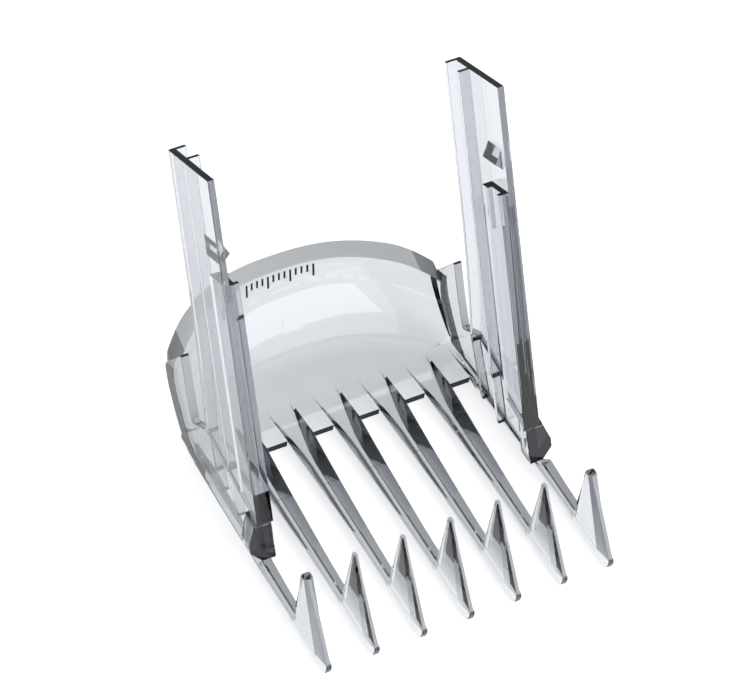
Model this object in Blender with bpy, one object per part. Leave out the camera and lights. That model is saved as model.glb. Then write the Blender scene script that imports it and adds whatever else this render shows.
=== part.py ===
"""Clipper guard comb: a clear scoop with seven teeth and two sprung clip arms.

Metres, +Z up. The comb stands on the keels of its teeth, teeth pointing to -Y, and the
origin is the middle of its footprint. The arms lean back by RAKE. Their own drawing frame,
the arm frame, has its z up along the arms and its y from front to back.
"""

import math

import bmesh
import bpy
from mathutils import Vector

MM = 0.001
GAP = 0.3 * MM

# Driving dimensions
TOOTH_PITCH = 7.4 * MM
TOOTH_COUNT = 7
ARM_SPAN = 44.8 * MM
ARM_DEPTH = 12.55 * MM
ARM_TOP = 67.94 * MM
ARM_FRONT = 16.36 * MM
RAKE = math.radians(23.56)
RIM_BACK = 61.0 * MM
RIM_HEIGHT = 12.8 * MM

# Teeth, in the ground frame: y from the tooth tips to the back, z up from the keels
TIP_FRONT = -1.2 * MM
TIP_BACK = 9.0 * MM
TIP_HEIGHT = 13.45 * MM
OUTER_TIP_HEIGHT = 12.75 * MM
TIP_CREST = 0.6 * MM
OUTER_TIP_CREST = 1.4 * MM
BEAM_HEIGHT = 2.5 * MM
BEAM_ROOT_WIDTH = 4.1 * MM
BEAM_FRONT_WIDTH = 1.7 * MM
KEEL_WIDTH = 0.5 * MM
RIB_WIDTH = 0.9 * MM
RIB_HEIGHT = 0.7 * MM
TAB_FRONT = 36.45 * MM

# Scoop, in the ground frame
RIM_SAG = 10.3 * MM
RIM_POWER = 2.5
RIM_SHOULDER = 16.0 * MM
RIM_END_DROP = 2.2 * MM
SCOOP_WALL = 2.0 * MM
SCOOP_FRONT = 43.8 * MM
SCOOP_RUN = 10.1 * MM
SCOOP_INNER_RUN = 8.0 * MM
INNER_RIM_DROP = 1.3 * MM
FLOOR_TOP = 1.9 * MM
FLOOR_UNDER = 1.0 * MM
TAB_TOP = 2.5 * MM
WALL_THICKNESS = 1.3 * MM

# Arms, in the arm frame: x is measured from the middle, outwards
PLATE_THICKNESS = 1.0 * MM
HINGE_FRONT_Z = 14.8 * MM
HINGE_BACK_Z = 22.9 * MM
ROOT_BACK = 30.5 * MM
ROOT_CURVE = ((29.8 * MM, 30.0 * MM), (29.25 * MM, 37.0 * MM), (28.95 * MM, 46.0 * MM))
RAIL_THICKNESS = 0.7 * MM
REAR_RAIL_DEPTH = 2.5 * MM
MIDDLE_RAIL_DEPTH = 2.65 * MM
MIDDLE_RAIL_Y = 24.3 * MM
FRONT_RAIL_DEPTH = 2.5 * MM
FRONT_RAIL_WIDTH = 4.9 * MM
FRONT_RAIL_TOP = 52.0 * MM
LUG_BOTTOM = 55.1 * MM
LUG_RIDGE = 56.2 * MM
LUG_TOP = 58.4 * MM
LUG_FRONT = 17.3 * MM
LUG_BACK = 21.0 * MM
LUG_HEIGHT = 0.85 * MM
FOOT_SPREAD = 1.6 * MM
FOOT_DEPTH = 2.4 * MM
FOOT_CHAMFER = 1.7 * MM
FOOT_INSIDE = 20.2 * MM
FLARE_TOP = 16.1 * MM
FLARE_BOTTOM = 12.2 * MM

# Side walls, in the arm frame: (y, z) from the back of the slot round to the back edge
SLOT_BACK = 35.4 * MM
WALL_CORNER = (35.6 * MM, 33.4 * MM)
WALL_DIP = (42.3 * MM, 29.6 * MM)
WALL_BACK_CURVE = ((41.9 * MM, 25.2 * MM), (40.5 * MM, 20.5 * MM), (38.6 * MM, 17.2 * MM))
WALL_HEEL = 36.9 * MM

PLASTIC = (0.80, 0.84, 0.88, 1.0)
GROUND_DROP = 1.26 * MM * math.sin(RAKE)
HALF_SPAN = ARM_SPAN / 2.0
FOOTPRINT_MIDDLE = (TIP_FRONT + RIM_BACK) / 2.0
ARM_BACK = ARM_FRONT + ARM_DEPTH


def remove_everything():
    for obj in list(bpy.data.objects):
        bpy.data.objects.remove(obj, do_unlink=True)


def plastic():
    """Clear, faintly grey plastic, one material for each piece."""
    material = bpy.data.materials.new("clear_plastic")
    material.use_nodes = True
    shader = material.node_tree.nodes["Principled BSDF"]
    shader.inputs["Base Color"].default_value = PLASTIC
    shader.inputs["Roughness"].default_value = 0.08
    shader.inputs["Metallic"].default_value = 0.0
    return material


def empty(name, parent=None, location=(0.0, 0.0, 0.0), rotation=(0.0, 0.0, 0.0)):
    holder = bpy.data.objects.new(name, None)
    holder.location = location
    holder.rotation_euler = rotation
    holder.parent = parent
    bpy.context.scene.collection.objects.link(holder)
    return holder


def finish_piece(name, mesh_data, parent, offset=(0.0, 0.0, 0.0)):
    """Turn a bmesh into a named object under its parent, drawn relative to offset."""
    bmesh.ops.recalc_face_normals(mesh_data, faces=mesh_data.faces[:])
    bmesh.ops.translate(mesh_data, vec=-Vector(offset), verts=mesh_data.verts[:])
    mesh = bpy.data.meshes.new(name)
    mesh_data.to_mesh(mesh)
    mesh_data.free()
    obj = bpy.data.objects.new(name, mesh)
    obj.data.materials.append(plastic())
    obj.parent = parent
    bpy.context.scene.collection.objects.link(obj)
    return obj


def loft(sections):
    """Skin a row of equal point loops and cap both ends."""
    mesh_data = bmesh.new()
    loops = [[mesh_data.verts.new(point) for point in section] for section in sections]
    count = len(loops[0])
    for near, far in zip(loops, loops[1:]):
        for i in range(count):
            j = (i + 1) % count
            mesh_data.faces.new((near[i], near[j], far[j], far[i]))
    mesh_data.faces.new(loops[0][::-1])
    mesh_data.faces.new(loops[-1])
    return mesh_data


def prism(outline, x_near, x_far):
    """A (y, z) outline pulled straight from one x to another."""
    return loft([[(x, y, z) for y, z in outline] for x in (x_near, x_far)])


def to_ground(y, z):
    """A point of the arm frame in the ground frame, as (y, z)."""
    across = y * math.cos(RAKE) + z * math.sin(RAKE)
    up = -y * math.sin(RAKE) + z * math.cos(RAKE) + GROUND_DROP
    return across, up


def hinge_z(y, offset=0.0):
    """Height of the arm's slanted root line at y, in the arm frame."""
    slope = (HINGE_BACK_Z - HINGE_FRONT_Z) / ARM_DEPTH
    return HINGE_FRONT_Z + slope * (y - ARM_FRONT) + offset


def ground_level(y, level):
    """The arm frame's z at y where the height above the ground is level."""
    return (level - GROUND_DROP + y * math.sin(RAKE)) / math.cos(RAKE)


def rim_line(x, half_width=HALF_SPAN, back=RIM_BACK):
    """Plan curve of the scoop's rim: y at x, furthest back in the middle."""
    return back - RIM_SAG * (abs(x) / half_width) ** RIM_POWER


def rim_height(x):
    """The rim is level, and drops towards the side walls."""
    past = max(abs(x) - RIM_SHOULDER, 0.0) / (HALF_SPAN - RIM_SHOULDER)
    return RIM_HEIGHT - RIM_END_DROP * past * past


# ---------------------------------------------------------------- teeth

def beam_section(y, half_top, half_keel, top, low):
    shoulder = low + 0.3 * (top - low)
    return [
        (-half_top, y, top), (half_top, y, top), (half_keel * 1.6, y, shoulder),
        (half_keel, y, low), (-half_keel, y, low), (-half_keel * 1.6, y, shoulder),
    ]


def tooth_beam(index, holder):
    """V-shaped tooth from behind its tip to the tabs, with a keel rib under the floor."""
    x = index * TOOTH_PITCH
    outer = abs(index) == TOOTH_COUNT // 2
    root = TAB_FRONT - GAP
    front = TIP_BACK + GAP
    half_keel = KEEL_WIDTH / 2.0
    sections = [
        beam_section(front, BEAM_FRONT_WIDTH / 2.0, half_keel, BEAM_HEIGHT, 0.0),
        beam_section(0.5 * (front + root), 0.36 * BEAM_ROOT_WIDTH, half_keel, BEAM_HEIGHT, 0.0),
        beam_section(root, BEAM_ROOT_WIDTH / 2.0, half_keel * 1.5, BEAM_HEIGHT, 0.0),
    ]
    if not outer:
        end = rim_line(x) - SCOOP_RUN
        half_rib = RIB_WIDTH / 2.0
        step = root + 0.3 * MM
        sections.append(beam_section(step, half_rib, half_keel, RIB_HEIGHT, 0.0))
        sections.append(beam_section(end - 2.0 * MM, half_rib, half_keel, RIB_HEIGHT, 0.0))
        sections.append(beam_section(end, half_rib, half_keel, RIB_HEIGHT, 0.35 * RIB_HEIGHT))
    if outer:
        # From the foot back the outer teeth are flush with the arms' outer faces.
        limit = HALF_SPAN - TOOTH_PITCH * (TOOTH_COUNT // 2)
        side = math.copysign(1.0, index)
        flush = [
            [(side * min(side * px, limit), py, pz) for px, py, pz in section]
            for section in sections[1:]
        ]
        foot_front = to_ground(ARM_FRONT, ground_level(ARM_FRONT, BEAM_HEIGHT))[0]
        before = beam_section(foot_front, 0.3 * BEAM_ROOT_WIDTH, half_keel, BEAM_HEIGHT, 0.0)
        after = [(side * min(side * px, limit), py + GAP, pz) for px, py, pz in before]
        sections = [sections[0], before, after, *flush]
    body = loft(sections)
    bmesh.ops.translate(body, vec=(x, 0.0, 0.0), verts=body.verts[:])
    finish_piece(f"tooth_{index + TOOTH_COUNT // 2 + 1}", body, holder)


def tip_section(front, back, half_front, half_back, z):
    lead = front + 0.35 * (back - front)
    return [
        (-half_front, front, z), (half_front, front, z), (half_back, lead, z),
        (half_back, back, z), (-half_back, back, z), (-half_back, lead, z),
    ]


def tooth_tip(index, holder):
    """Rounded nose under an upright triangular fin, narrow at the crest."""
    x = index * TOOTH_PITCH
    outer = abs(index) == TOOTH_COUNT // 2
    top = OUTER_TIP_HEIGHT if outer else TIP_HEIGHT
    crest = (OUTER_TIP_CREST if outer else TIP_CREST) / 2.0
    wide = BEAM_FRONT_WIDTH / 2.0
    nose = TIP_FRONT
    crest_back = 7.75 * MM
    crest_front = crest_back - 0.8 * MM
    slope = (crest_front - nose - 0.4 * MM) / (TIP_HEIGHT - 3.0 * MM)
    fin_front = crest_front - slope * (TIP_HEIGHT - top)
    sections = [
        tip_section(nose + 2.0 * MM, TIP_BACK, 0.2 * MM, 0.25 * MM, 0.0),
        tip_section(nose + 0.9 * MM, TIP_BACK, 0.35 * MM, 0.40 * MM, 0.3 * MM),
        tip_section(nose + 0.2 * MM, TIP_BACK, 0.45 * MM, 0.60 * MM, 1.0 * MM),
        tip_section(nose, TIP_BACK, 0.45 * MM, 0.80 * MM, 1.9 * MM),
        tip_section(nose + 0.1 * MM, TIP_BACK, 0.40 * MM, wide, BEAM_HEIGHT),
        tip_section(nose + 0.4 * MM, TIP_BACK - 0.4 * MM, 0.35 * MM, 0.75 * MM, 3.0 * MM),
        tip_section(nose + 1.0 * MM, TIP_BACK - 0.5 * MM, 0.32 * MM, max(crest, 0.7 * MM), 3.7 * MM),
        tip_section(fin_front, crest_back, crest * 0.9, crest, top),
    ]
    body = loft(sections)
    bmesh.ops.translate(body, vec=(x, 0.0, 0.0), verts=body.verts[:])
    finish_piece(f"tooth_tip_{index + TOOTH_COUNT // 2 + 1}", body, holder)


# ---------------------------------------------------------------- scoop

def floor_plate(holder):
    """Thin floor between the scoop and the teeth; tabs stand between the tooth roots."""
    half = HALF_SPAN - WALL_THICKNESS - GAP
    outline = [
        (TAB_FRONT, TAB_TOP - 0.9 * MM), (TAB_FRONT, TAB_TOP), (SCOOP_FRONT - 1.2 * MM, FLOOR_TOP),
        (SCOOP_FRONT - GAP, FLOOR_TOP), (SCOOP_FRONT - GAP, FLOOR_UNDER),
        (TAB_FRONT + 1.5 * MM, FLOOR_UNDER),
    ]
    finish_piece("floor_plate", prism(outline, -half, half), holder)


def scoop_section(x):
    """Closed (y, z) loop of the scoop's wall at x: up its outside, over the rim, down inside."""
    outer_rim = rim_line(x)
    inner_rim = rim_line(x, HALF_SPAN - WALL_THICKNESS, RIM_BACK - SCOOP_WALL)
    top = rim_height(x)
    steps = 8
    loop = [(SCOOP_FRONT, FLOOR_UNDER)]
    for i in range(steps + 1):
        z = FLOOR_UNDER + (top - FLOOR_UNDER) * i / steps
        loop.append((outer_rim - SCOOP_RUN * (1.0 - z / top) ** 2, z))
    inner_top = top - INNER_RIM_DROP
    rise = inner_top - FLOOR_TOP
    for i in range(steps + 1):
        z = inner_top - rise * i / steps
        y = inner_rim - SCOOP_INNER_RUN * ((inner_top - z) / rise) ** 2
        loop.append((max(y, SCOOP_FRONT + 0.1 * MM + 0.05 * z), z))
    loop.append((SCOOP_FRONT, FLOOR_TOP))
    return [(x, y, z) for y, z in loop]


def scoop_shell(holder):
    """Curved back of the comb that wraps round the clipper's head."""
    half = HALF_SPAN - WALL_THICKNESS - GAP
    count = 24
    sections = []
    for i in range(count + 1):
        angle = math.pi * (i / count - 0.5)
        sections.append(scoop_section(half * math.sin(angle)))
    finish_piece("scoop_shell", loft(sections), holder)


def side_wall_outline():
    """(y, z) outline in the ground frame: slot, top corner, dip, back curve, heel, gusset."""
    front = ARM_FRONT + FOOT_DEPTH + GAP
    under_hinge = -0.5 * GAP
    points = [to_ground(front, hinge_z(front, under_hinge))]
    points.append(to_ground(ROOT_BACK, hinge_z(ROOT_BACK, under_hinge)))
    points.append(to_ground(SLOT_BACK, HINGE_BACK_Z + under_hinge))
    points.append(to_ground(*WALL_CORNER))
    points.append(to_ground(*WALL_DIP))
    points.extend(to_ground(y, z) for y, z in WALL_BACK_CURVE)
    heel = WALL_HEEL / math.cos(RAKE)
    points.append((heel, 0.0))
    points.append((TAB_FRONT, 0.0))
    points.append((TAB_FRONT, BEAM_HEIGHT + GAP))
    points.append(to_ground(front, ground_level(front, BEAM_HEIGHT + GAP)))
    return points


def side_wall(side, name, holder):
    outline = side_wall_outline()
    body = prism(outline, side * (HALF_SPAN - WALL_THICKNESS), side * HALF_SPAN)
    finish_piece(name, body, holder)


def foot(side, name, holder):
    """Spread block on which the front of the arm stands on the outer tooth."""
    flare = (FLARE_TOP - HINGE_FRONT_Z) / (FLARE_TOP - FLARE_BOTTOM)
    shoulder = HALF_SPAN + FOOT_SPREAD * flare
    spread = HALF_SPAN + FOOT_SPREAD
    sections = []
    for y in (ARM_FRONT, ARM_FRONT + FOOT_DEPTH):
        top = hinge_z(y, -0.5 * GAP)
        base = ground_level(y, BEAM_HEIGHT + GAP)
        waist = base + FLARE_BOTTOM - ground_level(ARM_FRONT, BEAM_HEIGHT + GAP)
        loop = [
            (FOOT_INSIDE, base), (spread - FOOT_CHAMFER, base), (spread, base + FOOT_CHAMFER),
            (spread, waist), (shoulder, top), (FOOT_INSIDE, top),
        ]
        sections.append([(side * x, *to_ground(y, z)) for x, z in loop])
    finish_piece(name, loft(sections), holder)


# ---------------------------------------------------------------- arms

def arm_pieces(side, label, frame):
    """Plate, rails and lug of one arm, all under an empty on the arm's root line."""
    hinge = (side * (HALF_SPAN - PLATE_THICKNESS / 2.0), ARM_FRONT, HINGE_FRONT_Z)
    holder = empty(f"{label}_arm_hinge", frame, hinge)
    above = 0.5 * GAP
    inner_face = HALF_SPAN - PLATE_THICKNESS

    back_edge = [(ROOT_BACK, hinge_z(ROOT_BACK, above)), *ROOT_CURVE, (ARM_BACK, ARM_TOP)]
    plate = [(ARM_FRONT, hinge_z(ARM_FRONT, above)), *back_edge, (ARM_FRONT, ARM_TOP)]
    body = prism(plate, side * inner_face, side * HALF_SPAN)
    finish_piece(f"{label}_arm_plate", body, holder, hinge)

    rear_front = ROOT_BACK - RAIL_THICKNESS
    rail = [(rear_front, hinge_z(rear_front, above)), *back_edge]
    rail.extend((y - RAIL_THICKNESS, z) for y, z in back_edge[:0:-1])
    deep = HALF_SPAN - REAR_RAIL_DEPTH
    body = prism(rail, side * deep, side * (inner_face - GAP))
    finish_piece(f"{label}_rear_rail", body, holder, hinge)

    middle_back = MIDDLE_RAIL_Y + RAIL_THICKNESS
    rail = [
        (MIDDLE_RAIL_Y, hinge_z(MIDDLE_RAIL_Y, above)), (middle_back, hinge_z(middle_back, above)),
        (middle_back, ARM_TOP), (MIDDLE_RAIL_Y, ARM_TOP),
    ]
    deep = HALF_SPAN - MIDDLE_RAIL_DEPTH
    body = prism(rail, side * deep, side * (inner_face - GAP))
    finish_piece(f"{label}_middle_rail", body, holder, hinge)

    front_back = ARM_FRONT + FRONT_RAIL_WIDTH
    rail = [
        (ARM_FRONT, hinge_z(ARM_FRONT, above)), (front_back, hinge_z(front_back, above)),
        (front_back, FRONT_RAIL_TOP), (ARM_FRONT, FRONT_RAIL_TOP),
    ]
    deep = HALF_SPAN - FRONT_RAIL_DEPTH
    body = prism(rail, side * deep, side * (inner_face - GAP))
    finish_piece(f"{label}_front_rail", body, holder, hinge)

    base = inner_face - GAP
    crest = base - LUG_HEIGHT
    outline = [(LUG_BOTTOM, base), (LUG_RIDGE, crest), (LUG_TOP, base)]
    sections = [[(side * x, y, z) for z, x in outline] for y in (LUG_FRONT, LUG_BACK)]
    finish_piece(f"{label}_detent_lug", loft(sections), holder, hinge)


def build():
    remove_everything()
    ground = empty("comb_frame", None, (0.0, -FOOTPRINT_MIDDLE, 0.0))
    arm_frame = empty("arm_frame", ground, (0.0, 0.0, GROUND_DROP), (-RAKE, 0.0, 0.0))
    for index in range(-(TOOTH_COUNT // 2), TOOTH_COUNT // 2 + 1):
        tooth_beam(index, ground)
        tooth_tip(index, ground)
    floor_plate(ground)
    scoop_shell(ground)
    for side, label in ((-1.0, "left"), (1.0, "right")):
        side_wall(side, f"{label}_side_wall", ground)
        foot(side, f"{label}_foot", ground)
        arm_pieces(side, label, arm_frame)


build()
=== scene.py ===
"""Clipper guard comb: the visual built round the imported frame.

Everything is drawn in millimetres in the ground frame (y from the tooth tips to the back,
z up from the keels) or in the arm frame, which leans back by RAKE, and is put in place
from the frame's own boxes.
"""

import math

import bmesh
import bpy
from mathutils import Matrix, Vector


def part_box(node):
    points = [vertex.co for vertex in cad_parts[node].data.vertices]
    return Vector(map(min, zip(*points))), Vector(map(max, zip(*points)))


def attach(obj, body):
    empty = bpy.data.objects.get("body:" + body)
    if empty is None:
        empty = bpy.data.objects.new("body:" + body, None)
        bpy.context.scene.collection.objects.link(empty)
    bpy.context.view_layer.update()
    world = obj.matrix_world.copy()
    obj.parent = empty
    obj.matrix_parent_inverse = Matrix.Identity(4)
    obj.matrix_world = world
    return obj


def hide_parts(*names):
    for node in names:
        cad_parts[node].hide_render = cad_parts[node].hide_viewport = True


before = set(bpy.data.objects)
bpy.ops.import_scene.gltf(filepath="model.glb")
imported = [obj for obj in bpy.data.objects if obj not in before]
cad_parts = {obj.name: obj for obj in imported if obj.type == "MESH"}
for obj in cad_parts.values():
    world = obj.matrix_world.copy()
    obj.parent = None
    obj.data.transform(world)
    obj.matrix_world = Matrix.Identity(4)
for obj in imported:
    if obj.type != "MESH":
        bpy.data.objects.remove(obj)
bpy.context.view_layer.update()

MM = 0.001
RAKE = math.radians(23.56)
TIP_FRONT = -1.2
FLOOR_TOP = 1.9

# Arm frame: the plate, the slanted root line under it and the slot behind it.
ARM_FRONT = 16.36
ARM_DEPTH = 12.55
ARM_BACK = ARM_FRONT + ARM_DEPTH
ARM_TOP = 67.94
HINGE_FRONT_Z = 14.95
ROOT_SLOPE = 8.1 / ARM_DEPTH
ROOT_BACK = 30.5
ROOT_CURVE = [
    (30.45, 24.6), (30.1, 27.4), (29.8, 30.0), (29.5, 33.5),
    (29.25, 37.0), (29.05, 41.5), (28.95, 46.0),
]
SLOT_FRONT = (34.9, 22.95)
SEAM = 0.03
# SEAM_REACH: how far from the seam line the seam's painted shade reaches.
SEAM_REACH = 0.14

# Rails: their places across the arm, and how far inside HALF_SPAN their inner faces lie.
MIDDLE_RAIL = (24.3, 25.0)
MIDDLE_RAIL_DEPTH = 2.65
OUTER_RAIL_DEPTH = 2.5
FRONT_RAIL_WIDTH = 4.9
FRONT_RAIL_TOP = 52.0
REAR_RAIL_WIDTH = 0.75

# Scoop: its lip, its bow in plan and its curves in section.
LIP_WIDTH = 2.0
LIP_DROP = 1.3
RIM_BOW = 10.3
RIM_POWER = 2.5
RIM_FALL_START = 16.0
RIM_FALL = 2.2
OUTER_SWEEP = 10.1
INNER_RUN = 8.0
INNER_POWER = 0.72
BAND_WIDTH = 2.6

# Beyond this x the rim is a corner, whose top takes a darker painted shade, and there are no more
# tabs.
CORNER_X = 19.0

# Shading and plastic.
SHARP_ANGLE = 11.0
PLASTIC_IOR = 1.57
SMOKE = (0.20, 0.24, 0.30, 1.0)
MOULD_DENSITY = 115.0
ARM_DENSITY = 120.0

# Which material a face takes: the clear plastic, painted shade on some edge faces, painted light
# on the slot faces. These are places in the comb's list of materials; ARM_SEAM is the seam's
# painted-shade place in the arm's list.
CLEAR, TAB_FACE, RIM_TOP, SLOT_FACE, FIN_FACE, FLANK_FACE, SEAM_FACE, RIM_CORNER, PAINTED_SHADE_FACE = range(9)
ARM_SEAM = 1

# Camera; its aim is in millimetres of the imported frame.
CAMERA_AZIMUTH = math.radians(33.10)
CAMERA_ELEVATION = math.radians(48.91)
CAMERA_ROLL = math.radians(7.13)
CAMERA_AIM = (-0.64, 1.79, 23.34)
CAMERA_DISTANCE = 0.5674
LENS_LENGTH = 200.0
SENSOR_WIDTH = 36.0


def box_mm(node):
    """Box of a CAD node in millimetres."""
    low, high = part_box(node)
    return low / MM, high / MM


TIP_BOX = box_mm("tooth_tip_4")
WALL_BOX = box_mm("left_side_wall")
SCOOP_BOX = box_mm("scoop_shell")
FLOOR_BOX = box_mm("floor_plate")
TOOTH_BOX = box_mm("tooth_4")
ARM_BOX = box_mm("left_arm_plate")
FOOT_BOX = box_mm("left_foot")

SHIFT = TIP_BOX[0].y - TIP_FRONT
HALF_SPAN = -WALL_BOX[0].x
WALL = WALL_BOX[1].x - WALL_BOX[0].x
PLATE = ARM_BOX[1].x - ARM_BOX[0].x
RIM_BACK = SCOOP_BOX[1].y - SHIFT
RIM_HEIGHT = SCOOP_BOX[1].z
SCOOP_FRONT = SCOOP_BOX[0].y - SHIFT
FLOOR_UNDER = FLOOR_BOX[0].z
TAB_FRONT = FLOOR_BOX[0].y - SHIFT
TAB_TOP = FLOOR_BOX[1].z
FLOOR_BACK = SCOOP_FRONT - 0.6
TIP_BACK = TIP_BOX[1].y - SHIFT
TIP_HEIGHT = TIP_BOX[1].z
BEAM_TOP = TOOTH_BOX[1].z
BEAM_WIDTH = TOOTH_BOX[1].x - TOOTH_BOX[0].x
TEETH = [0.5 * sum(corner.x for corner in box_mm(f"tooth_tip_{k}")) for k in range(1, 8)]
OUTER_TIP_HEIGHT = box_mm("tooth_tip_1")[1].z
PITCH = (TEETH[-1] - TEETH[0]) / (len(TEETH) - 1)


def leaning(y, z):
    """A point of the arm frame in the ground frame, as (y, z)."""
    u = y - ARM_FRONT
    v = z - HINGE_FRONT_Z
    across = ARM_BOX[0].y - SHIFT + u * math.cos(RAKE) + v * math.sin(RAKE)
    up = ARM_BOX[0].z - u * math.sin(RAKE) + v * math.cos(RAKE)
    return across, up


def upright(y, level):
    """The arm frame's z at y where the height above the ground is level."""
    base = leaning(y, 0.0)[1]
    return (level - base) / math.cos(RAKE)


def root_z(y, offset=0.0):
    """Height of the arm's slanted root line at y, in the arm frame."""
    return HINGE_FRONT_Z - 0.15 + ROOT_SLOPE * (y - ARM_FRONT) + offset


# ---------------------------------------------------------------- mesh helpers

def soften(mesh_data, width, segments=2, sharp=28.0):
    """Round every sharp edge a little, as a mould does."""
    bmesh.ops.recalc_face_normals(mesh_data, faces=mesh_data.faces[:])
    edges = [e for e in mesh_data.edges if e.calc_face_angle(0.0) > math.radians(sharp)]
    bmesh.ops.bevel(
        mesh_data, geom=edges, offset=width, offset_type="OFFSET", segments=segments,
        profile=0.5, affect="EDGES", clamp_overlap=True,
    )
    return mesh_data


def loft(sections):
    """Skin a row of equal point loops and cap both ends."""
    mesh_data = bmesh.new()
    loops = [[mesh_data.verts.new(point) for point in section] for section in sections]
    count = len(loops[0])
    for near, far in zip(loops, loops[1:]):
        for i in range(count):
            j = (i + 1) % count
            mesh_data.faces.new((near[i], near[j], far[j], far[i]))
    mesh_data.faces.new(loops[0][::-1])
    mesh_data.faces.new(loops[-1])
    bmesh.ops.recalc_face_normals(mesh_data, faces=mesh_data.faces[:])
    return mesh_data


def prism(outline, x_near, x_far):
    """A (y, z) outline pulled straight from one x to another."""
    return loft([[(x, y, z) for y, z in outline] for x in (x_near, x_far)])


def piece(name, mesh_data):
    """Turn a bmesh drawn in ground-frame millimetres into an object, still in millimetres."""
    bmesh.ops.remove_doubles(mesh_data, verts=mesh_data.verts[:], dist=0.004)
    bmesh.ops.dissolve_degenerate(mesh_data, edges=mesh_data.edges[:], dist=0.002)
    bmesh.ops.recalc_face_normals(mesh_data, faces=mesh_data.faces[:])
    mesh = bpy.data.meshes.new(name)
    mesh_data.to_mesh(mesh)
    mesh_data.free()
    obj = bpy.data.objects.new(name, mesh)
    bpy.context.scene.collection.objects.link(obj)
    return obj


def to_world(obj):
    """Take an object drawn in ground-frame millimetres to its place in metres."""
    place = Matrix.Scale(MM, 4) @ Matrix.Translation((0.0, SHIFT, 0.0))
    obj.data.transform(place)
    return obj


def combine(base, others, operation):
    """Boolean other objects into base in one go and remove them."""
    group = bpy.data.collections.new("operands")
    bpy.context.scene.collection.children.link(group)
    for other in others:
        group.objects.link(other)
    modifier = base.modifiers.new("combine", "BOOLEAN")
    modifier.operation = operation
    modifier.solver = "EXACT"
    modifier.operand_type = "COLLECTION"
    modifier.collection = group
    graph = bpy.context.evaluated_depsgraph_get()
    mesh = bpy.data.meshes.new_from_object(base.evaluated_get(graph))
    base.modifiers.clear()
    base.data = mesh
    for other in others:
        bpy.data.objects.remove(other, do_unlink=True)
    bpy.data.collections.remove(group)


def fuse(name, bodies, cuts, materials, choose):
    """One closed moulding from overlapping solids, less the cuts, with a material per face."""
    made = [piece(f"{name}_part", body) for body in bodies]
    base = made[0]
    combine(base, made[1:], "UNION")
    combine(base, [piece(f"{name}_cut", cut) for cut in cuts], "DIFFERENCE")
    mesh = base.data
    clean = bmesh.new()
    clean.from_mesh(mesh)
    bmesh.ops.remove_doubles(clean, verts=clean.verts[:], dist=0.002)
    bmesh.ops.dissolve_degenerate(clean, edges=clean.edges[:], dist=0.001)
    clean.to_mesh(mesh)
    clean.free()
    mesh.materials.clear()
    for material in materials:
        mesh.materials.append(material)
    for polygon in mesh.polygons:
        polygon.material_index = choose(polygon.center, polygon.normal)
    to_world(base)
    mesh.shade_smooth()
    mesh.set_sharp_from_angle(angle=math.radians(SHARP_ANGLE))
    base.name = name
    mesh.name = name
    weighted = base.modifiers.new("weighted", "WEIGHTED_NORMAL")
    weighted.keep_sharp = True
    return base


def smooth_curve(points, steps):
    """Catmull-Rom through (y, z) points."""
    padded = [points[0], *points, points[-1]]
    made = []
    for i in range(1, len(padded) - 2):
        p0, p1, p2, p3 = (Vector(p) for p in padded[i - 1:i + 3])
        for k in range(steps):
            t = k / steps
            value = 0.5 * (
                2.0 * p1 + (p2 - p0) * t + (2.0 * p0 - 5.0 * p1 + 4.0 * p2 - p3) * t * t
                + (3.0 * p1 - p0 - 3.0 * p2 + p3) * t ** 3
            )
            made.append(tuple(value))
    made.append(tuple(points[-1]))
    return made


# ---------------------------------------------------------------- materials

def clear_plastic(name, tint_and_shade, density, roughness, transmission=1.0):
    """Clear smoke-tinted polycarbonate: glass surface, plain absorption inside. Darker surface
    colours given to it paint shade onto some edge faces.
    """
    material = bpy.data.materials.new(name)
    material.use_nodes = True
    tree = material.node_tree
    shader = tree.nodes["Principled BSDF"]
    shader.inputs["Base Color"].default_value = (*tint_and_shade, 1.0)
    shader.inputs["Roughness"].default_value = roughness
    shader.inputs["IOR"].default_value = PLASTIC_IOR
    shader.inputs["Transmission Weight"].default_value = transmission
    volume = tree.nodes.new("ShaderNodeVolumeAbsorption")
    volume.inputs["Color"].default_value = SMOKE
    volume.inputs["Density"].default_value = density
    output = tree.nodes["Material Output"]
    tree.links.new(volume.outputs["Volume"], output.inputs["Volume"])
    return material


def matt(name, colour, roughness):
    """Plain opaque material: the ink, the table, and the painted shade and painted light on some
    edge faces.
    """
    material = bpy.data.materials.new(name)
    material.use_nodes = True
    shader = material.node_tree.nodes["Principled BSDF"]
    shader.inputs["Base Color"].default_value = (*colour, 1.0)
    shader.inputs["Roughness"].default_value = roughness
    return material


# ---------------------------------------------------------------- which face looks like what

# Mask for the painted shade along the crease where an arm meets its side wall.
def on_seam(centre, normal):
    """True for the edge faces on the slanted line where an arm stands on its side wall."""
    front = Vector(leaning(ARM_FRONT, root_z(ARM_FRONT)))
    back = Vector(leaning(ROOT_BACK, root_z(ROOT_BACK)))
    along = (back - front).normalized()
    offset = Vector((centre.y, centre.z)) - front
    share = offset.dot(along)
    away = abs(offset.x * along.y - offset.y * along.x)
    slack = 0.1
    near = away < SEAM_REACH and -slack < share < (back - front).length + slack
    return near and abs(normal.x) < 0.95


def arm_material(centre, normal):
    """Painted shade on the seam faces, clear elsewhere."""
    return ARM_SEAM if on_seam(centre, normal) else CLEAR


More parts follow.
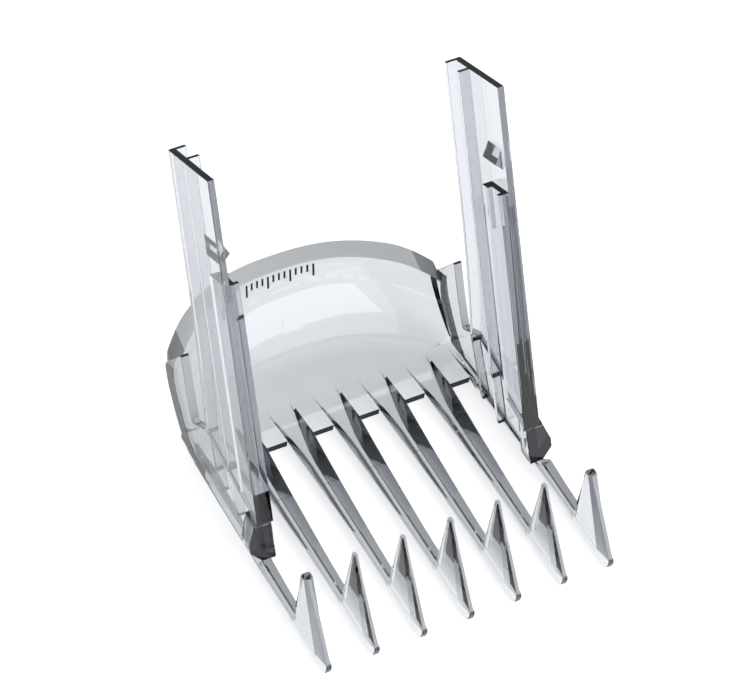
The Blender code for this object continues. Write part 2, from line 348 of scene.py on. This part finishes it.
def wall_material(centre, normal):
    """Painted light and shade for a side wall's or foot's face: pale slot fronts, near-black outer
    faces and fronts, a darker seam; None where it is like the rest.
    """
    slot_front = Vector(leaning(*SLOT_FRONT))
    in_slot = abs(centre.y - slot_front.x) < 6.5 and centre.z > slot_front.y - 0.5
    # Painted light: the slot's front faces are made opaque pale grey.
    if in_slot and normal.y < -0.6:
        return SLOT_FACE
    # Painted shade: the side walls' outer faces behind the band's front are made near black.
    band_front = leaning(35.0, 12.0)[0]
    if abs(centre.x) > HALF_SPAN - 0.04 and centre.y > band_front:
        return PAINTED_SHADE_FACE
    # Painted shade along the seam crease.
    if on_seam(centre, normal):
        return SEAM_FACE
    # Painted shade: forward faces of the feet and wall fronts above the teeth are made near black.
    foot_front = leaning(ARM_FRONT, 3.0)[0] - 4.0
    if normal.y < -0.7 and foot_front < centre.y < 26.0 and centre.z > BEAM_TOP:
        return PAINTED_SHADE_FACE
    return None


def comb_material(centre, normal):
    """Material of a face of the comb's body, clear plastic with painted light and shade on some
    edge faces; the first place that it belongs to decides.
    """
    across = abs(centre.x)
    on_tab = abs(centre.y - TAB_FRONT) < 0.3 and centre.z < TAB_TOP and across < CORNER_X
    # Painted shade: the tabs' front end faces are made near black.
    if on_tab and normal.y < -0.7:
        return TAB_FACE
    if across > HALF_SPAN - WALL - 0.1:
        painted_light_and_shade = wall_material(centre, normal)
        if painted_light_and_shade is not None:
            return painted_light_and_shade
    # Painted shade: the fins' forward faces are greyed.
    if centre.y < 7.5 and centre.z > 3.0 and normal.y < -0.3:
        return FIN_FACE
    # Painted shade on the rim's top: a grey band in the middle, darker at the corners.
    rim = rim_height(centre.x)
    if normal.z > 0.6 and rim - 1.5 < centre.z and across < HALF_SPAN - 0.9:
        return RIM_CORNER if across > CORNER_X else RIM_TOP
    # Painted shade: the teeth's sides behind the tips are made darker.
    if abs(normal.x) > 0.45 and TIP_BACK < centre.y < 41.5 and centre.z < BEAM_TOP - 0.3:
        return FLANK_FACE
    return CLEAR


# ---------------------------------------------------------------- teeth

def beam_loop(y, half_top, half_keel, top, low):
    """Flat-topped V: short upright edge, straight flank, narrow keel."""
    edge = top - 0.28
    return [
        (-half_top, y, top), (half_top, y, top), (half_top, y, edge),
        (half_keel, y, low), (-half_keel, y, low), (-half_top, y, edge),
    ]


def rim_line(x, half_width, back):
    """Plan curve of the scoop's rim: y at x, furthest back in the middle."""
    return back - RIM_BOW * (abs(x) / half_width) ** RIM_POWER


def tooth_beam(x):
    """Tooth from inside its tip to the floor, where the V flattens out and merges."""
    side = 1.0 if x > 0.0 else -1.0
    outer = abs(x) > 2.5 * PITCH
    half_root = BEAM_WIDTH / 2.0 - 0.02
    slope = (TAB_TOP - FLOOR_TOP) / (SCOOP_FRONT - 1.2 - TAB_FRONT)
    rows = [
        (TIP_BACK - 0.9, 0.85, 0.25, 0.0), (14.0, 0.98, 0.25, 0.0), (18.3, 1.14, 0.25, 0.0),
        (18.9, 1.16, 0.25, 0.0), (27.0, 1.52, 0.25, 0.0), (32.0, 1.80, 0.27, 0.0),
        (34.5, 1.95, 0.45, 0.05), (36.5, half_root, 0.75, 0.22), (39.0, half_root, 1.20, 0.55),
        (41.5, half_root, 1.70, 0.86), (SCOOP_FRONT + 0.4, half_root, 1.95, FLOOR_UNDER + 0.05),
    ]
    sections = []
    for y, half_top, half_keel, low in rows:
        top = BEAM_TOP - 0.01 - slope * max(y - TAB_FRONT, 0.0)
        section = beam_loop(y, half_top, half_keel, max(top, FLOOR_TOP - 0.04), low)
        if outer and y > 18.5:
            limit = HALF_SPAN - abs(x) - 0.03
            section = [(side * min(side * px, limit), py, pz) for px, py, pz in section]
        sections.append(section)
    body = loft(sections)
    bmesh.ops.translate(body, vec=(x, 0.0, 0.0), verts=body.verts[:])
    return body


def cross_line(x):
    """Fine witness line across the top of a tooth."""
    half = 1.50
    low, high = BEAM_TOP - 0.05, BEAM_TOP + 0.045
    outline = [(27.32, low), (27.48, low), (27.44, high), (27.36, high)]
    return prism(outline, x - half, x + half)


def nose_loop(front, half_front, half_back, z):
    """Six-sided plan section of a tooth's toe at height z."""
    lead = front + 0.3 * (TIP_BACK - front)
    back = TIP_BACK - 0.05
    return [
        (-half_front, front, z), (half_front, front, z), (half_back, lead, z),
        (half_back, back, z), (-half_back, back, z), (-half_back, lead, z),
    ]


def fin_loop(front, back, half, z):
    """Blunt wedge: narrow front, flat sides, chamfered back edge."""
    lead = front + 0.27 * (back - front)
    tail = back - 0.12 * (back - front)
    return [
        (-0.34 * half, front, z), (0.34 * half, front, z), (half, lead, z), (half, tail, z),
        (0.5 * half, back, z), (-0.5 * half, back, z), (-half, tail, z), (-half, lead, z),
    ]


def tooth_nose(x):
    """Rounded toe of a tooth."""
    sections = [
        nose_loop(TIP_FRONT + 2.0, 0.2, 0.25, 0.0), nose_loop(TIP_FRONT + 1.2, 0.3, 0.33, 0.12),
        nose_loop(TIP_FRONT + 0.6, 0.38, 0.45, 0.45), nose_loop(TIP_FRONT + 0.2, 0.45, 0.60, 1.0),
        nose_loop(TIP_FRONT, 0.45, 0.80, 1.9), nose_loop(TIP_FRONT + 0.1, 0.38, 0.85, BEAM_TOP),
    ]
    body = soften(loft(sections), 0.07, 1, 35.0)
    bmesh.ops.translate(body, vec=(x, 0.0, 0.0), verts=body.verts[:])
    return body


def tooth_fin(x):
    """Upright triangular fin, narrow at the crest."""
    outer = abs(x) > 2.5 * PITCH
    top = OUTER_TIP_HEIGHT if outer else TIP_HEIGHT
    crest = 0.7 if outer else 0.3
    crest_back = 7.75
    slope = (crest_back - 0.8 - TIP_FRONT - 0.4) / (TIP_HEIGHT - 3.0)
    fin_front = crest_back - 0.8 - slope * (TIP_HEIGHT - top)
    low = 2.3
    base_front = TIP_FRONT + 0.35 - slope * (3.0 - low) + 0.25
    sections = [
        fin_loop(base_front, TIP_BACK - 0.2, 0.82, low),
        fin_loop(fin_front, crest_back, crest, top),
    ]
    body = soften(loft(sections), 0.05, 1, 60.0)
    bmesh.ops.translate(body, vec=(x, 0.0, 0.0), verts=body.verts[:])
    return body


def dimple(x):
    """Small round sink on top of a tooth behind its fin."""
    radius = 0.55
    centre = (x, 11.05, BEAM_TOP + 0.42)
    body = bmesh.new()
    bmesh.ops.create_uvsphere(body, u_segments=20, v_segments=12, radius=radius)
    bmesh.ops.translate(body, vec=centre, verts=body.verts[:])
    return body


# ---------------------------------------------------------------- scoop

def rim_height(x):
    """Height of the scoop's rim at x: level in the middle, lower at its ends."""
    past = max(abs(x) - RIM_FALL_START, 0.0) / (HALF_SPAN - RIM_FALL_START)
    return RIM_HEIGHT - RIM_FALL * past * past


def inner_run(drop):
    """How far the inner wall has come forward at a share of its drop; level at the floor."""
    return INNER_RUN * (1.0 - max(1.0 - drop * drop, 0.0) ** INNER_POWER)


def scoop_loop(x):
    """Closed (y, z) loop of the scoop's wall at x: up its outside, over the rim, down inside."""
    outer_rim = rim_line(x, HALF_SPAN, RIM_BACK - 0.01)
    inner_rim = rim_line(x, HALF_SPAN - WALL, RIM_BACK - LIP_WIDTH)
    top = rim_height(x)
    steps = 24
    low = FLOOR_UNDER + 0.02
    front = SCOOP_FRONT - 1.15
    loop = [(front, low)]
    for i in range(steps + 1):
        z = low + (top - low) * i / steps
        y = outer_rim - OUTER_SWEEP * (1.0 - z / top) ** 2
        loop.append((max(y, SCOOP_FRONT - 1.0 + 0.05 * z), z))
    inner_top = top - LIP_DROP
    rise = inner_top - FLOOR_TOP
    for i in range(steps + 1):
        z = inner_top - rise * math.sin(0.5 * math.pi * i / steps)
        y = inner_rim - inner_run((inner_top - z) / rise)
        loop.append((max(y, SCOOP_FRONT + 0.1 + 0.05 * z), z))
    loop.append((front, FLOOR_TOP))
    return [(x, y, z) for y, z in loop]


def scoop():
    """Curved wall, with its sections closer together towards its ends."""
    half = HALF_SPAN - 1.0
    count = 72
    sections = []
    for i in range(count + 1):
        angle = math.pi * (i / count - 0.5)
        sections.append(scoop_loop(half * math.sin(angle)))
    return soften(loft(sections), 0.12, 2, 50.0)


def plate_line(y):
    """Height of the floor's top: the tabs rise towards their front ends."""
    share = max(FLOOR_BACK - y, 0.0) / (FLOOR_BACK - TAB_FRONT)
    steepening = 1.6
    return FLOOR_TOP + (TAB_TOP - FLOOR_TOP) * share ** steepening


def floor_part(front, x_near, x_far):
    """Floor from front back into the scoop, of even thickness."""
    steps = 8
    rows = [front + (FLOOR_BACK - front) * k / steps for k in range(steps + 1)]
    rows.append(SCOOP_FRONT + 0.5)
    over = [(y, plate_line(y) - 0.005) for y in rows]
    under = [(y, FLOOR_UNDER + 0.03 + 0.6 * (plate_line(y) - FLOOR_TOP)) for y in reversed(rows)]
    return prism(over + under, x_near, x_far)


def floor_strip():
    """Floor behind the tabs."""
    half = HALF_SPAN - 0.5
    return floor_part(41.9, -half, half)


def tab(x, half):
    """Tab between two tooth roots."""
    return floor_part(TAB_FRONT, x - half, x + half)


def inner_wall(x, z):
    """Point on the scoop's inner wall, and the direction out of it."""
    inner_top = rim_height(x) - LIP_DROP
    rise = inner_top - FLOOR_TOP
    half = HALF_SPAN - WALL

    def depth(px, pz):
        return rim_line(px, half, RIM_BACK - LIP_WIDTH) - inner_run((inner_top - pz) / rise)

    step = 0.01
    across = (depth(x + step, z) - depth(x - step, z)) / (2.0 * step)
    upward = (depth(x, z + step) - depth(x, z - step)) / (2.0 * step)
    return Vector((x, depth(x, z), z)), Vector((across, -1.0, upward)).normalized()


def pin_mark(x, z, radius):
    """Round ejector-pin witness standing very slightly proud of the inner wall."""
    point, out = inner_wall(x, z)
    body = bmesh.new()
    bmesh.ops.create_cone(
        body, cap_ends=True, segments=40, radius1=radius, radius2=radius - 0.05, depth=0.5,
    )
    sunk = 0.19
    turn = Vector((0.0, 0.0, 1.0)).rotation_difference(out).to_matrix().to_4x4()
    move = Matrix.Translation(point - out * sunk)
    bmesh.ops.transform(body, matrix=move @ turn, verts=body.verts[:])
    return body


def side_wall(side):
    """Side wall, and the thicker band along its curved back edge."""
    front = ARM_FRONT + 1.0
    points = [leaning(front, root_z(front, -SEAM)), leaning(ROOT_BACK, root_z(ROOT_BACK, -SEAM))]
    points.append(leaning(*SLOT_FRONT))
    points.append(leaning(35.3, 23.3))
    points.append(leaning(35.62, 28.0))
    points.append(leaning(35.62, 33.1))
    points.append(leaning(35.9, 33.35))
    curve_steps = 6
    curve_start = len(points)
    points.extend(smooth_curve([
        leaning(40.6, 30.5), leaning(41.9, 29.6), leaning(42.2, 28.0), leaning(41.9, 25.2),
        leaning(40.5, 20.5), leaning(38.6, 17.2), leaning(37.1, 16.2),
    ], curve_steps))
    curve = range(curve_start + curve_steps, len(points))
    heel = 36.9 / math.cos(RAKE)
    points.append((heel + 0.2, 0.35))
    points.append((heel - 0.3, 0.0))
    points.append((TAB_FRONT - 0.5, 0.0))
    points.append((TAB_FRONT - 3.0, BEAM_TOP - 0.1))
    points.append(leaning(front, upright(front, BEAM_TOP - 0.2)))
    shell = prism(points, side * (HALF_SPAN - WALL), side * (HALF_SPAN - 0.05))
    edge = [Vector(points[i]) for i in curve]
    forward = Vector((-math.cos(RAKE), math.sin(RAKE))) * BAND_WIDTH
    ring = [*edge, *reversed([point + forward for point in edge])]
    band = prism(ring, side * (HALF_SPAN - WALL + 0.2), side * (HALF_SPAN - 0.005))
    return soften(shell, 0.10, 2, 42.0), soften(band, 0.12, 2, 60.0)


def foot(side):
    """Flared block on which the front of the arm stands."""
    spread = -FOOT_BOX[0].x - 0.01
    inside = 20.2
    base_front = upright(ARM_FRONT, BEAM_TOP)
    sections = []
    for y in (ARM_FRONT, ARM_FRONT + 2.4):
        top = root_z(y, -SEAM)
        base = upright(y, BEAM_TOP - 0.1)
        waist = base + 12.2 - base_front
        loop = [
            (inside, base), (spread - 1.7, base), (spread, base + 1.7),
            (spread, waist), (HALF_SPAN + 0.53, top), (inside, top),
        ]
        sections.append([(side * x, *leaning(y, z)) for x, z in loop])
    return soften(loft(sections), 0.12, 2, 25.0)


def wall_rib(side, y_top, y_low, depth):
    """A rail carried on down the inside of the side wall to the outer tooth."""
    low = BEAM_TOP - 0.15
    foot_front = upright(y_low, low)
    foot_back = upright(y_low + 0.7, low)
    outline = [
        leaning(y_low, foot_front), leaning(y_low + 0.7, foot_back),
        leaning(y_top + 0.7, root_z(y_top + 0.7, -SEAM)), leaning(y_top, root_z(y_top, -SEAM)),
    ]
    inside = side * (HALF_SPAN - depth)
    return soften(prism(outline, inside, side * (HALF_SPAN - WALL + 0.15)), 0.06, 1, 35.0)


# ---------------------------------------------------------------- arms

def arm_prism(outline, x_near, x_far, width=0.08):
    """Prism of an arm-frame (y, z) outline, softened."""
    return soften(prism([leaning(y, z) for y, z in outline], x_near, x_far), width, 2, 35.0)


def rail(side, front, back, top, depth):
    """Straight rail on the arm's inner face."""
    outline = [(front, root_z(front, SEAM)), (back, root_z(back, SEAM)), (back, top), (front, top)]
    inner_face = HALF_SPAN - PLATE
    return arm_prism(outline, side * (HALF_SPAN - depth), side * (inner_face + 0.12), 0.07)


def rear_rail(side, top):
    """Rail that follows the arm's curved back edge."""
    back = [(ROOT_BACK, root_z(ROOT_BACK, SEAM)), *ROOT_CURVE, (ARM_BACK, top)]
    back = [(y - 0.01, z) for y, z in back]
    front = [(y - REAR_RAIL_WIDTH, z) for y, z in reversed(back[1:])]
    front.append((ROOT_BACK - 0.76, root_z(ROOT_BACK - 0.76, SEAM)))
    inner_face = HALF_SPAN - PLATE
    inside = side * (HALF_SPAN - OUTER_RAIL_DEPTH)
    return arm_prism(back + front, inside, side * (inner_face + 0.12), 0.07)


def arm(side, label):
    """One sprung arm with its rails and its detent lug."""
    top = ARM_TOP - 0.01
    plate = [
        (ARM_FRONT, root_z(ARM_FRONT, SEAM)), (ROOT_BACK, root_z(ROOT_BACK, SEAM)),
        *ROOT_CURVE, (ARM_BACK, top), (ARM_FRONT, top),
    ]
    inner_face = HALF_SPAN - PLATE
    bodies = [arm_prism(plate, side * inner_face, side * (HALF_SPAN - 0.005), 0.10)]
    bodies.append(rear_rail(side, top - 0.005))
    bodies.append(rail(side, *MIDDLE_RAIL, top - 0.01, MIDDLE_RAIL_DEPTH))
    front_rail = (ARM_FRONT + 0.005, ARM_FRONT + FRONT_RAIL_WIDTH)
    bodies.append(rail(side, *front_rail, FRONT_RAIL_TOP, OUTER_RAIL_DEPTH))
    base = inner_face + 0.05
    crest = inner_face - 1.1
    lug = [(55.1, base), (56.2, crest), (58.4, base)]
    bodies.append(loft([[(side * x, *leaning(y, z)) for z, x in lug] for y in (17.3, 21.0)]))
    pocket = [(17.1, 47.0), (19.6, 45.6), (19.6, 52.6), (17.1, 52.6)]
    cut = arm_prism(pocket, side * (HALF_SPAN - 3.0), side * (HALF_SPAN - 1.9), 0.05)
    made = fuse(f"{label}_arm_moulding", bodies, [cut], ARM_PLASTIC_AND_PAINTED_SHADE, arm_material)
    names = ("arm_plate", "rear_rail", "middle_rail", "front_rail", "detent_lug")
    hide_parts(*[f"{label}_{n}" for n in names])
    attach(made, f"{label}_arm")


# ---------------------------------------------------------------- comb

def comb():
    """The comb's body: teeth, tabs, floor, scoop, side walls and feet in one moulding."""
    bodies = [scoop(), floor_strip()]
    for left, right in zip(TEETH, TEETH[1:]):
        bodies.append(tab(0.5 * (left + right), 0.5 * PITCH - BEAM_WIDTH / 2.0 - 0.02))
    for x in TEETH:
        bodies.append(tooth_beam(x))
        bodies.append(tooth_nose(x))
        bodies.append(tooth_fin(x))
    for x in TEETH[1:-1]:
        bodies.append(cross_line(x))
    for side in (-1.0, 1.0):
        bodies.extend(side_wall(side))
        bodies.append(foot(side))
        bodies.append(wall_rib(side, MIDDLE_RAIL[0], 24.1, MIDDLE_RAIL_DEPTH))
        bodies.append(wall_rib(side, ROOT_BACK - 0.77, 28.6, OUTER_RAIL_DEPTH))
    bodies.append(pin_mark(x=0.8, z=4.0, radius=1.75))
    dimples = [dimple(x) for x in TEETH[1:-1]]
    made = fuse("comb_moulding", bodies, dimples, COMB_PLASTIC_AND_PAINTED_LIGHT_SHADE, comb_material)
    names = ["floor_plate", "scoop_shell"]
    names += [f"{label}_{n}" for label in ("left", "right") for n in ("side_wall", "foot")]
    names += [f"tooth_{k}" for k in range(1, 8)] + [f"tooth_tip_{k}" for k in range(1, 8)]
    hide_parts(*names)
    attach(made, "comb_body")


def scale_marks():
    """Row of plain printed graduation strokes inside the rim."""
    count, first_x, pitch, width = 13, -5.6, 0.9, 0.32
    long_stroke, short_stroke, every = 2.1, 1.3, 4
    ink_under, ink_over = 0.012, 0.035
    z_top = RIM_HEIGHT - 1.9
    body = bmesh.new()
    for i in range(count):
        x = first_x + i * pitch
        z_low = z_top - (long_stroke if i % every == 0 else short_stroke)
        corners = []
        for px, pz in ((x, z_top), (x + width, z_top), (x + width, z_low), (x, z_low)):
            point, out = inner_wall(px, pz)
            corners.append((point + out * ink_under, point + out * ink_over))
        under = [body.verts.new(c[0]) for c in corners]
        over = [body.verts.new(c[1]) for c in corners]
        body.faces.new(under[::-1])
        body.faces.new(over)
        for a in range(4):
            b = (a + 1) % 4
            body.faces.new((under[a], under[b], over[b], over[a]))
    made = to_world(piece("scale_marks", body))
    made.data.materials.append(INK)
    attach(made, "comb_body")


# ---------------------------------------------------------------- studio

def area_light(name, place, aim, width, depth, power):
    """Soft rectangular light at place, turned to face aim; metres and watts."""
    data = bpy.data.lights.new(name, "AREA")
    data.shape = "RECTANGLE"
    data.size = width
    data.size_y = depth
    data.energy = power
    lamp = bpy.data.objects.new(name, data)
    lamp.location = place
    direction = Vector(aim) - Vector(place)
    lamp.rotation_euler = direction.to_track_quat("-Z", "Y").to_euler()
    bpy.context.scene.collection.objects.link(lamp)


def studio():
    """Glowing white table, pale surroundings and three soft boxes."""
    mesh = bpy.data.meshes.new("floor")
    size = 4.0
    below = 0.0002
    mesh.from_pydata(
        [(-size, -size, 0.0), (size, -size, 0.0), (size, size, 0.0), (-size, size, 0.0)],
        [], [(0, 1, 2, 3)],
    )
    table = matt("floor_white", (0.80, 0.80, 0.80), 0.9)
    glow = table.node_tree.nodes["Principled BSDF"]
    glow.inputs["Emission Color"].default_value = (1.0, 1.0, 1.0, 1.0)
    glow.inputs["Emission Strength"].default_value = 0.66
    mesh.materials.append(table)
    floor = bpy.data.objects.new("floor", mesh)
    floor.location.z = -below
    bpy.context.scene.collection.objects.link(floor)

    world = bpy.data.worlds.new("studio")
    world.use_nodes = True
    background = world.node_tree.nodes["Background"]
    background.inputs["Color"].default_value = (0.88, 0.94, 1.0, 1.0)
    background.inputs["Strength"].default_value = 0.32
    bpy.context.scene.world = world

    middle = (0.0, 0.0, 0.03)
    area_light(
        "overhead", (0.0, 0.10, 0.90), (0.0, 0.0, 0.0), width=0.9, depth=0.9, power=1.0,
    )
    area_light("front_box", (0.22, -0.9, 0.6), middle, width=1.45, depth=0.9, power=10.0)
    area_light("back_box", (0.25, 0.9, 0.55), middle, width=0.8, depth=0.4, power=2.5)


def camera():
    """Looks down on the comb from the front left, turned a little anticlockwise."""
    rightward, backward = math.sin(CAMERA_AZIMUTH), math.cos(CAMERA_AZIMUTH)
    flat = math.cos(CAMERA_ELEVATION)
    forward = Vector((rightward * flat, backward * flat, -math.sin(CAMERA_ELEVATION)))
    level = Vector((backward, -rightward, 0.0))
    over = level.cross(forward)
    right = level * math.cos(CAMERA_ROLL) + over * math.sin(CAMERA_ROLL)
    up = right.cross(forward)
    data = bpy.data.cameras.new("camera")
    data.lens = LENS_LENGTH
    data.sensor_width = SENSOR_WIDTH
    data.clip_start = 0.01
    data.clip_end = 20.0
    rig = bpy.data.objects.new("camera", data)
    turn = Matrix((right, up, -forward)).transposed()
    place = Vector(CAMERA_AIM) * MM - forward * CAMERA_DISTANCE
    rig.matrix_world = Matrix.Translation(place) @ turn.to_4x4()
    bpy.context.scene.collection.objects.link(rig)
    bpy.context.scene.camera = rig


COMB_PLASTIC = clear_plastic("comb_plastic", (0.76, 0.77, 0.79), MOULD_DENSITY, 0.03)
ARM_PLASTIC = clear_plastic("arm_clear_plastic", (0.725, 0.74, 0.765), ARM_DENSITY, 0.03)
# Painted shade: near-black opaque tab front faces, where the clear plastic looks dark.
DARK_EDGE = matt("dark_edge", (0.016, 0.017, 0.021), 0.35)
DARK_EDGE.node_tree.nodes["Principled BSDF"].inputs["Specular IOR Level"].default_value = 0.12
# Painted shade: the rim's top face is a grey, half-clear band.
RIM_EDGE = clear_plastic("rim_edge", (0.84, 0.845, 0.85), MOULD_DENSITY, 0.30, 0.4)
# Painted light: opaque pale grey for the slot's front faces, standing in for their bright look.
PALE_EDGE = matt("pale_edge", (0.56, 0.57, 0.59), 0.4)
# Painted shade: the rim's top is darker at its corners.
RIM_END = clear_plastic("rim_end", (0.40, 0.41, 0.43), MOULD_DENSITY, 0.25, 0.4)
# Painted shade: near-black, mostly clear outer faces of the side walls and the fronts above the
# feet.
PAINTED_SHADE_EDGE = clear_plastic("painted_shade_edge", (0.012, 0.013, 0.017), MOULD_DENSITY, 0.08, 0.75)
# Painted shade: darker faces along the crease where an arm stands on its side wall.
SEAM_EDGE = clear_plastic("seam_edge", (0.30, 0.31, 0.33), MOULD_DENSITY, 0.10)
# Painted shade: greyed front faces of the fins.
FIN_EDGE = clear_plastic("fin_edge", (0.58, 0.60, 0.64), MOULD_DENSITY, 0.20, 0.45)
# Painted shade: darker sides of the teeth.
FLANK = clear_plastic("tooth_flank", (0.56, 0.575, 0.60), MOULD_DENSITY, 0.03)
COMB_PLASTIC_AND_PAINTED_LIGHT_SHADE = [
    COMB_PLASTIC, DARK_EDGE, RIM_EDGE, PALE_EDGE, FIN_EDGE, FLANK, SEAM_EDGE, RIM_END, PAINTED_SHADE_EDGE,
]
ARM_PLASTIC_AND_PAINTED_SHADE = [ARM_PLASTIC, SEAM_EDGE]
INK = matt("ink", (0.012, 0.013, 0.016), 0.5)

comb()
arm(-1.0, "left")
arm(1.0, "right")
scale_marks()
studio()
camera()

scene = bpy.context.scene
scene.view_settings.view_transform = "Standard"
scene.view_settings.look = "None"
